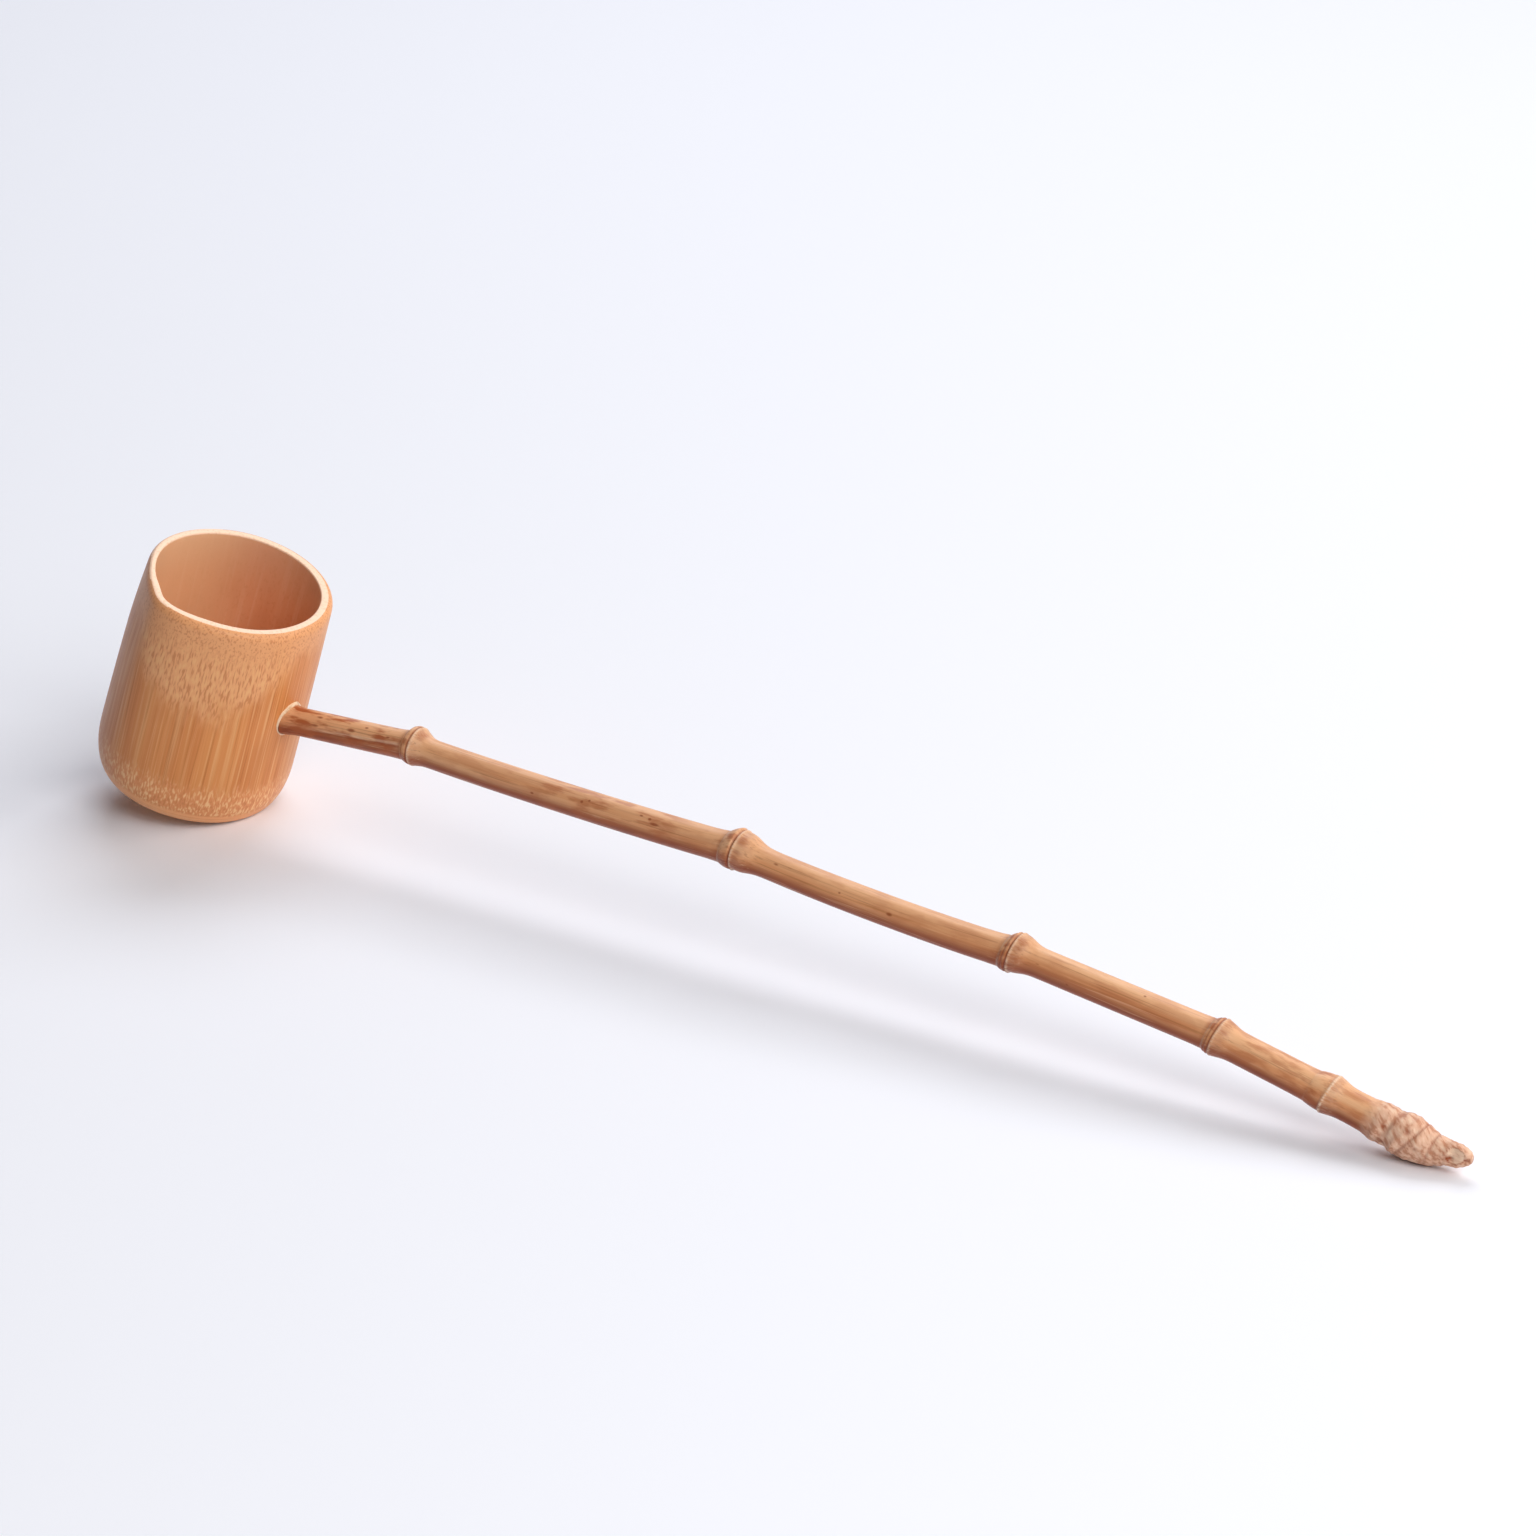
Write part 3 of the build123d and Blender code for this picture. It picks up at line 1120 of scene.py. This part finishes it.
@dataclass(frozen=True)
class Chip:
    """The flat chip in the side of the root's tip, where the bare wood and the soot go by its depth.

    The flat and the rim are at their distances from the handle's axis.
    """

    angle: float = 74
    start: float = 398.8
    end: float = 402.6
    run_in: float = 2.0
    run_down: float = 0.6
    run_out: float = 1.0
    flat: float = 2.1
    rim: float = 3.6
    least_facing: float = 0.2
    bare: Stretch = Stretch(0.8, 0.1, 0.5)
    soot: Band = Band(0.6, 0.12, 0.12)
    soot_from: Stretch = Stretch(1.0, 0.0, 0.05)

    def cut(self, along: float, angle: float, radius: float) -> float:
        """How deep the chip cuts into the root.

        Args:
            along: Distance along the handle.
            angle: Degrees round it from its top.
            radius: The radius before the cut.

        Returns:
            The depth, which is 0 outside the chip.
        """
        facing = math.cos(math.radians(apart(angle, self.angle)))
        beside = not self.start - self.run_in < along < self.end + self.run_out
        if beside or facing <= self.least_facing:
            return 0.0
        sunk = eased(along, self.start - self.run_in, self.start + self.run_down)
        risen = eased(along, self.end, self.end + self.run_out)
        distance = self.rim - (self.rim - self.flat) * (sunk - risen)
        return max(0.0, radius - distance / facing)


@dataclass
class Handle:
    """The handle: a thin culm with its root end, straight from node to node."""

    cup: Cup
    joint_height: float = 38.8
    lengths: tuple[float, ...] = (48.2, 117.8, 93.3, 65.0, 35.3, 31.9, 12.8)
    climbs: tuple[float, ...] = (20.4, 15.6, 12.7, 10.4, 5.2, 4.4, 18.5)
    sags: tuple[float, ...] = (0, 1.2, 1.8, 0, 0, 0, 0)
    sag_power: float = 0.5
    radii_before_node: tuple[float, ...] = (4.5, 4.7, 4.65, 4.55, 4.7)
    radii_after_node: tuple[float, ...] = (4.45, 4.35, 4.4, 4.6, 4.85)
    bend_reach: float = 3.0
    shoulder_radius: float = 4.9
    shoulder_length: float = 5.0
    start_radius: float = 4.4
    least_radius: float = 0.4
    tenon_radius: float = 3.4
    tenon_length: float = 7.4
    tenon_bevel: float = 0.3
    tenon_middle: float = 4.0
    scribe_reach: float = 6.0
    scribe_rounds: int = 6
    segments: int = 96
    shoulder_rings: tuple[float, ...] = (0.0, 0.6, 1.2, 2.0, 3.0, 4.2, 5.6)
    fine_before_node: float = 2.6
    fine_after_node: float = 9.5
    node_step: float = 0.24
    root_step: float = 0.4
    plain_step: float = 2.0
    end: float = 403.9
    nodes: tuple[CulmNode, ...] = (
        CulmNode(49.3, 1.5, 1.4, 3.2, 0.3, 3.0, 7, 0.3, 2.1, 0.45),
        CulmNode(166.0, 1.5, 1.65, 4.4, 2.0, 4.5, 10, 0.42),
        CulmNode(259.3, 1.2, 1.4, 3.0, 1.2, 3.7, 9, 0.36, 1.3),
        CulmNode(324.3, 0.95, 1.0, 2.4, 0.8, 3.2, 9, 0.3, 1.1, 0.2, 0.6),
        CulmNode(359.6, 0.75, 0.85, 5.0, 0.8, 3.0, 9, 0.06, 0.0, 0.2, 0.95),
    )
    root_profile: tuple[tuple[float, float], ...] = (
        (368.0, 4.85),
        (371.6, 4.95),
        (374.9, 5.4),
        (376.5, 5.7),
        (380.0, 5.4),
        (381.6, 5.95),
        (383.3, 6.3),
        (386.0, 6.15),
        (388.0, 5.8),
        (391.2, 5.05),
        (394.4, 4.2),
        (396.6, 3.65),
        (400.0, 3.3),
        (401.6, 2.8),
        (403.0, 2.1),
        (403.9, 1.2),
    )
    root_rings: tuple[RootRing, ...] = (
        RootRing(377.0, 0.3, 0.9, 22),
        RootRing(379.3, -0.25, 0.6, 22, 0.3),
        RootRing(383.4, 0.28, 0.8, 24),
        RootRing(386.0, -0.25, 0.4, 26, 0.6),
        RootRing(388.2, 0.12, 0.9, 22),
        RootRing(392.6, -0.15, 0.4, 14, 0.5),
        RootRing(397.2, -0.12, 0.4, 10, 0.2),
    )
    knobs: tuple[Knob, ...] = (
        Knob(378.8, 66, -0.3, 0.7, 0.9),
        Knob(379.5, 118, -0.3, 0.6, 0.9),
        Knob(385.6, 48, -0.25, 0.7, 0.8),
        Knob(390.0, 66, 0.6, 2.0),
        Knob(389.2, 82, -0.35, 0.6, 0.6),
        Knob(382.6, 104, 0.35, 1.4),
        Knob(398.3, 94, -0.6, 0.9, 1.0),
        Knob(402.9, 96, -0.9, 0.8, 0.7),
        Knob(386.6, -70, 0.5, 1.8),
        Knob(392.0, 170, 0.3, 1.5),
    )
    chip: Chip = Chip()
    furrow: Furrow = Furrow()
    root_zone: Stretch = Stretch(1.0, 371.0, 377.5)
    root_lumps: tuple[tuple[float, float], ...] = ((0.18, 0.4), (0.08, 1.1))
    stained: tuple[Stretch, ...] = (
        Stretch(1.2, -2.0, -1.0, 40.0, 52.0),
        Stretch(0.75, 80.0, 105.0, 140.0, 155.0),
        Stretch(0.65, 318.0, 335.0),
    )
    least_stain: float = 0.3
    node_reach_before: float = 9.0
    node_reach_after: float = 14.0

    def start(self) -> Vector:
        """Where the handle's axis meets the outside of the cup."""
        return Vector((self.cup.outside_radius(self.joint_height), 0, self.joint_height))

    def spine(self, along: float) -> Matrix:
        """The handle's frame at a distance along it: X up across it, Y to the viewer's side, Z along.

        Args:
            along: Distance along the handle from the outside of the cup.

        Returns:
            A matrix that takes a point of the section to the bench.
        """
        origin = self.start()
        begin = 0.0
        last = len(self.lengths) - 1
        for index, (length, climb, sag) in enumerate(zip(self.lengths, self.climbs, self.sags)):
            if along <= begin + length or index == last:
                break
            origin = origin + self.heading(climb) * length
            begin += length
        inside = along - begin
        turned = climb
        if inside < self.bend_reach and index > 0:
            turned += (self.climbs[index - 1] - climb) * (self.bend_reach - inside) / (2 * self.bend_reach)
        if inside > length - self.bend_reach and index < last:
            left = self.bend_reach - (length - inside)
            turned += (self.climbs[index + 1] - climb) * left / (2 * self.bend_reach)
        ahead = self.heading(turned)
        upward = Vector((-ahead.z, 0, ahead.x))
        side = Vector((0, -1, 0))
        turn = Matrix((upward, side, ahead)).transposed().to_4x4()
        length_share = min(1.0, max(0.0, inside / length))
        drop = Vector((0, 0, -sag * math.sin(math.pi * length_share) ** self.sag_power))
        return Matrix.Translation(origin + self.heading(climb) * inside + drop) @ turn

    @staticmethod
    def heading(climb: float) -> Vector:
        """Unit direction away from the cup at a climb in degrees."""
        turn = math.radians(climb)
        return Vector((math.cos(turn), 0, math.sin(turn)))

    def scribe(self, angle: float, radius: float) -> float:
        """How far along the handle a line on its side leaves the outside of the cup.

        Args:
            angle: Degrees round the handle from its top.
            radius: The line's distance from the handle's axis.

        Returns:
            The distance along the handle.
        """
        base = self.spine(0)
        along = 0.0
        for _ in range(self.scribe_rounds):
            point = base @ polar(radius, angle, along)
            along -= math.hypot(point.x, point.y) - self.cup.outside_radius(point.z)
        return along

    def stations(self) -> list[float]:
        """Distances of the rings along the handle, close together at the nodes and the root."""
        places = list(self.shoulder_rings)
        while places[-1] < self.end:
            here = places[-1]
            near_node = any(
                -node.swelling - self.fine_before_node < here - node.along < self.fine_after_node
                for node in self.nodes
            )
            step = self.node_step if near_node else self.plain_step
            step = self.root_step if here > self.root_profile[0][0] else step
            places.append(here + step)
        places[-1] = self.end
        return places

    def plain_radius(self, along: float) -> float:
        """The culm's radius between its nodes, and along the root."""
        if along < self.nodes[0].along:
            grown = eased(along, 0, self.shoulder_length)
            share = along / self.nodes[0].along
            after = self.start_radius + (self.shoulder_radius - self.start_radius) * (1 - grown)
            return after + (self.radii_before_node[0] - self.start_radius) * share
        for index, (near, far) in enumerate(pairwise(self.nodes)):
            if along < far.along:
                share = (along - near.along) / (far.along - near.along)
                low, high = self.radii_after_node[index], self.radii_before_node[index + 1]
                return low + (high - low) * share
        for (near, low), (far, high) in pairwise(self.root_profile):
            if near <= along < far:
                return low + (high - low) * eased(along, near, far)
        return self.radii_after_node[-1] if along < self.root_profile[0][0] else self.root_profile[-1][1]

    def relief(self, along: float, angle: float) -> tuple[float, dict[str, float]]:
        """The handle's radius and the finish of its skin at a point.

        Args:
            along: Distance along the handle.
            angle: Degrees round it from its top.

        Returns:
            The radius, and the shares of soot, wax, root and stain.
        """
        base = self.plain_radius(along)
        radius = base
        soot, wax, rust = 0.0, 0.0, 0.0
        stain = max(self.least_stain, *(stretch.at(along) for stretch in self.stained))
        for node in self.nodes:
            if -node.swelling - self.node_reach_before < along - node.along < self.node_reach_after:
                radius += node.rise(along, angle, base)
                soot += node.soot(along, angle, base)
                wax += node.wax(along, angle, base)
                rust += node.rust(along, angle, base)
        furrow, edge = self.furrow.shares(along, angle)
        radius -= self.furrow.depth * furrow
        soot += self.furrow.soot * furrow
        wax += self.furrow.wax * edge
        root = self.root_zone.at(along)
        if root > 0:
            risen, ring_soot = self.root_relief(along, angle, base)
            radius += risen + root * self.lumps(along, angle, base)
            cut = self.chip.cut(along, angle, radius)
            radius -= cut
            wax += self.chip.bare.at(cut)
            soot += ring_soot + self.chip.soot.at(cut) * self.chip.soot_from.at(cut)
        for knob in self.knobs:
            share = knob.share(along, angle, base)
            radius += knob.height * share
            soot += knob.soot * share
        shares = (min(1.0, max(0.0, soot)), min(1.0, wax), root, max(stain, rust))
        return max(self.least_radius, radius), dict(zip(SKIN_MASKS, shares))

    def root_relief(self, along: float, angle: float, base: float) -> tuple[float, float]:
        """The rings and creases of the root at a point.

        Args:
            along: Distance along the handle.
            angle: Degrees round it from its top.
            base: The root's radius there without them.

        Returns:
            How far they stand out, and their soot.
        """
        risen, soot = 0.0, 0.0
        for ring in self.root_rings:
            lag = base * math.tan(math.radians(ring.slant)) * math.cos(math.radians(angle))
            share = bell(along - ring.along - lag, ring.width)
            risen += ring.rise * share
            soot += ring.soot * share
        return risen, soot

    def lumps(self, along: float, angle: float, base: float) -> float:
        """How far the root's small lumps stand out at a point on its radius without them."""
        spot = polar(base, angle, along)
        return sum(height * noise.noise(spot * fineness) for height, fineness in self.root_lumps)

    def blank(self, tenon: list[float], places: list[float]) -> bmesh.types.BMesh:
        """Draws a unit circle out ring by ring, with a ring's number as its height.

        Args:
            tenon: Distances of the tenon's rings.
            places: Distances of the culm's rings.

        Returns:
            The tube, closed at both ends.
        """
        bm = bmesh.new()
        made = bmesh.ops.create_circle(bm, segments=self.segments, radius=1.0)
        edges = list({edge for vert in made["verts"] for edge in vert.link_edges})
        for _ in range(len(tenon) + len(places) - 1):
            drawn = bmesh.ops.extrude_edge_only(bm, edges=edges)["geom"]
            verts = [item for item in drawn if isinstance(item, bmesh.types.BMVert)]
            fresh = set(verts)
            edges = [
                item
                for item in drawn
                if isinstance(item, bmesh.types.BMEdge) and all(vert in fresh for vert in item.verts)
            ]
            bmesh.ops.translate(bm, verts=verts, vec=(0, 0, 1))
        bmesh.ops.holes_fill(bm, edges=[edge for edge in bm.edges if edge.is_boundary], sides=self.segments)
        return bm

    def build(self, materials: list[bpy.types.Material]) -> bpy.types.Object:
        """Draws out the culm and its tenon, shapes them ring by ring and dresses them.

        Args:
            materials: The handle's skin and the tenon's bare wood.

        Returns:
            The handle's object.
        """
        tenon = [-self.tenon_length, self.tenon_bevel - self.tenon_length, -self.tenon_middle, 0.0]
        places = self.stations()
        frames = [self.spine(along) for along in tenon + places]
        bm = self.blank(tenon, places)
        layers = {name: bm.verts.layers.float.new(name) for name in SKIN_MASKS}
        unbent = bm.verts.layers.float_vector.new(UNBENT)
        for face in bm.faces:
            in_tenon = face.calc_center_median().z < len(tenon)
            face.material_index = HandleRegion.TENON if in_tenon else HandleRegion.SKIN
        for vert in bm.verts:
            ring = round(vert.co.z)
            angle = math.degrees(math.atan2(vert.co.y, vert.co.x))
            if ring < len(tenon):
                along = tenon[ring]
                radius = self.tenon_radius - (self.tenon_bevel if ring == 0 else 0.0)
                masks = {}
                shift = self.scribe(angle, radius) if ring == len(tenon) - 1 else 0.0
            else:
                along = places[ring - len(tenon)]
                radius, masks = self.relief(along, angle)
                shift = 0.0
                if along < self.scribe_reach:
                    shift = self.scribe(angle, radius) * (1 - eased(along, 0, self.scribe_reach))
            for name, share in masks.items():
                vert[layers[name]] = share
            across = polar(radius, angle, shift)
            vert[unbent] = Vector((across.x, across.y, along + shift))
            vert.co = frames[ring] @ across
        bmesh.ops.recalc_face_normals(bm, faces=bm.faces)
        piece = finished_piece("handle_culm", bm, materials)
        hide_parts("handle")
        return piece


@dataclass
class JointBead:
    """The bead of hardened glue in the corner between the handle's shoulder and the cup."""

    handle: Handle
    section_radius: float = 0.9
    stand_off: float = 0.15
    thinnest: float = 0.25
    unevenness: float = 0.22
    fineness: float = 0.45
    section_segments: int = 14
    steps_round: int = 72

    def build(self, material: bpy.types.Material) -> bpy.types.Object:
        """Turns a small circle round the handle's axis and lays the ring against the cup.

        Args:
            material: The hardened glue.

        Returns:
            The bead's object.
        """
        bm = bmesh.new()
        reach = self.handle.shoulder_radius + self.stand_off
        lying = Matrix.Translation((reach, 0, 0)) @ Matrix.Rotation(math.radians(90), 4, "X")
        bmesh.ops.create_circle(bm, segments=self.section_segments, radius=self.section_radius, matrix=lying)
        full_turn(bm, self.steps_round)
        base = self.handle.spine(0)
        for vert in bm.verts:
            angle = math.degrees(math.atan2(vert.co.y, vert.co.x))
            share = max(self.thinnest, (1 + math.cos(math.radians(angle))) / 2)
            fat = share + self.unevenness * noise.noise(vert.co * self.fineness)
            radius = reach + (math.hypot(vert.co.x, vert.co.y) - reach) * fat
            along = vert.co.z * fat + self.handle.scribe(angle, reach)
            vert.co = base @ polar(radius, angle, along)
        piece = finished_piece("joint_bead_glue", bm, [material])
        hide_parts("joint_bead")
        return piece


@dataclass(frozen=True)
class Softbox:
    """A large soft lamp that points at the dipper."""

    name: str
    place: tuple[float, float, float]
    width: float
    length: float
    power: float
    colour: str = "#FFFFFF"
    aim: tuple[float, float, float] = (-0.08, 0.0, 0.03)

    def build(self) -> None:
        """Hangs the lamp."""
        lamp = bpy.data.lights.new(self.name, "AREA")
        lamp.shape = "RECTANGLE"
        lamp.size = self.width
        lamp.size_y = self.length
        lamp.energy = self.power
        lamp.color = linear(self.colour)[:3]
        hung = bpy.data.objects.new(self.name, lamp)
        hung.location = self.place
        hung.rotation_euler = (Vector(self.aim) - Vector(self.place)).to_track_quat("-Z", "Y").to_euler()
        bpy.context.scene.collection.objects.link(hung)


@dataclass
class Studio:
    """A pale table, a white room and soft lamps."""

    table_size: float = 2.8
    table_colour: str = "#F2F4FC"
    table_roughness: float = 0.85
    table_ior: float = 1.3
    room_colour: str = "#F2F5FF"
    room_strength: float = 0.065
    softboxes: tuple[Softbox, ...] = (
        Softbox("key_right", (1.35, 0.9, 1.25), 1.5, 1.5, 20.0, "#FFFBF5"),
        Softbox("back_top", (-0.7, 1.5, 1.9), 1.8, 1.4, 34.0, "#FBFCFF"),
        Softbox("front_fill", (1.5, -0.8, 1.5), 1.6, 1.4, 33.0, "#FFFDFA"),
    )

    def table(self) -> bpy.types.Object:
        """Lays the table."""
        material, tree = start_finish("pale_table")
        shader = add(
            tree,
            "ShaderNodeBsdfPrincipled",
            {
                "Base Color": linear(self.table_colour),
                "Roughness": self.table_roughness,
                "IOR": self.table_ior,
            },
        )
        add(tree, "ShaderNodeOutputMaterial", {"Surface": shader.outputs["BSDF"]})
        bm = bmesh.new()
        bmesh.ops.create_grid(bm, x_segments=4, y_segments=4, size=self.table_size / 2)
        mesh = bpy.data.meshes.new("table")
        bm.to_mesh(mesh)
        bm.free()
        mesh.materials.append(material)
        table = bpy.data.objects.new("table", mesh)
        bpy.context.scene.collection.objects.link(table)
        return table

    def room(self) -> None:
        """Lights the room evenly, and shows it as white where it is seen straight or in a reflection."""
        world = bpy.data.worlds.new("white_room")
        world.use_nodes = True
        tree = world.node_tree
        tree.nodes.clear()
        path = add(tree, "ShaderNodeLightPath")
        seen = path.outputs["Is Camera Ray"]
        for ray in ("Is Glossy Ray", "Is Transmission Ray"):
            either = add(tree, "ShaderNodeMath", {0: seen, 1: path.outputs[ray]}, operation="MAXIMUM")
            seen = either.outputs[0]
        lit, shown = (
            add(tree, "ShaderNodeBackground", {"Color": linear(self.room_colour), "Strength": strength})
            for strength in (self.room_strength, 1.0)
        )
        both = add(
            tree,
            "ShaderNodeMixShader",
            {0: seen, 1: lit.outputs["Background"], 2: shown.outputs["Background"]},
        )
        add(tree, "ShaderNodeOutputWorld", {"Surface": both.outputs["Shader"]})
        bpy.context.scene.world = world

    def build(self) -> None:
        """Sets up the table, the room and the lamps."""
        self.table()
        self.room()
        for softbox in self.softboxes:
            softbox.build()
        bpy.context.scene.view_settings.view_transform = "Standard"


@dataclass(frozen=True)
class Viewpoint:
    """Where the photograph was taken from, in metres, degrees and photograph pixels."""

    place: tuple[float, float, float] = (0.66974, -1.03213, 0.59363)
    azimuth: float = 32.63
    elevation: float = 23.388
    roll: float = 1.021
    focal_pixels: float = 4658.0
    sensor_width: float = 36.0
    clip_end: float = 100.0

    def build(self) -> None:
        """Sets up the camera."""
        around, above, roll = (math.radians(x) for x in (self.azimuth, self.elevation, self.roll))
        right = Vector((math.cos(around), math.sin(around), 0))
        back = Vector(
            (math.sin(around) * math.cos(above), -math.cos(around) * math.cos(above), math.sin(above))
        )
        upward = back.cross(right)
        turn = Matrix((right, upward, back)).transposed() @ Matrix.Rotation(roll, 3, "Z")
        lens = bpy.data.cameras.new("viewpoint")
        lens.sensor_width = self.sensor_width
        lens.lens = self.focal_pixels / PHOTO_WIDTH * self.sensor_width
        lens.clip_end = self.clip_end
        camera = bpy.data.objects.new("viewpoint", lens)
        camera.matrix_world = Matrix.Translation(self.place) @ turn.to_4x4()
        bpy.context.scene.collection.objects.link(camera)
        bpy.context.scene.camera = camera


def main() -> None:
    """Builds the dipper, dresses it and sets it in the studio."""
    logging.basicConfig(level=logging.INFO, format="%(name)s: %(message)s")
    sawn_end = SawnCulmEnd().build()
    cup = Cup()
    handle = Handle(cup)
    pieces = [
        cup.build([ScrapedCupCulm().build(), sawn_end, PlanedCulmLining().build()]),
        handle.build([SmokedHandleCulm().build(), sawn_end]),
        JointBead(handle).build(HardenedGlue().build()),
    ]
    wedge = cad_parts["tenon_wedge"]
    wedge.data.materials.clear()
    wedge.data.materials.append(SplitCulm().build())
    for piece in pieces + [wedge]:
        log.info("%s: %d faces", piece.name, len(piece.data.polygons))
    Studio().build()
    Viewpoint().build()


if __name__ == "__main__":
    main()
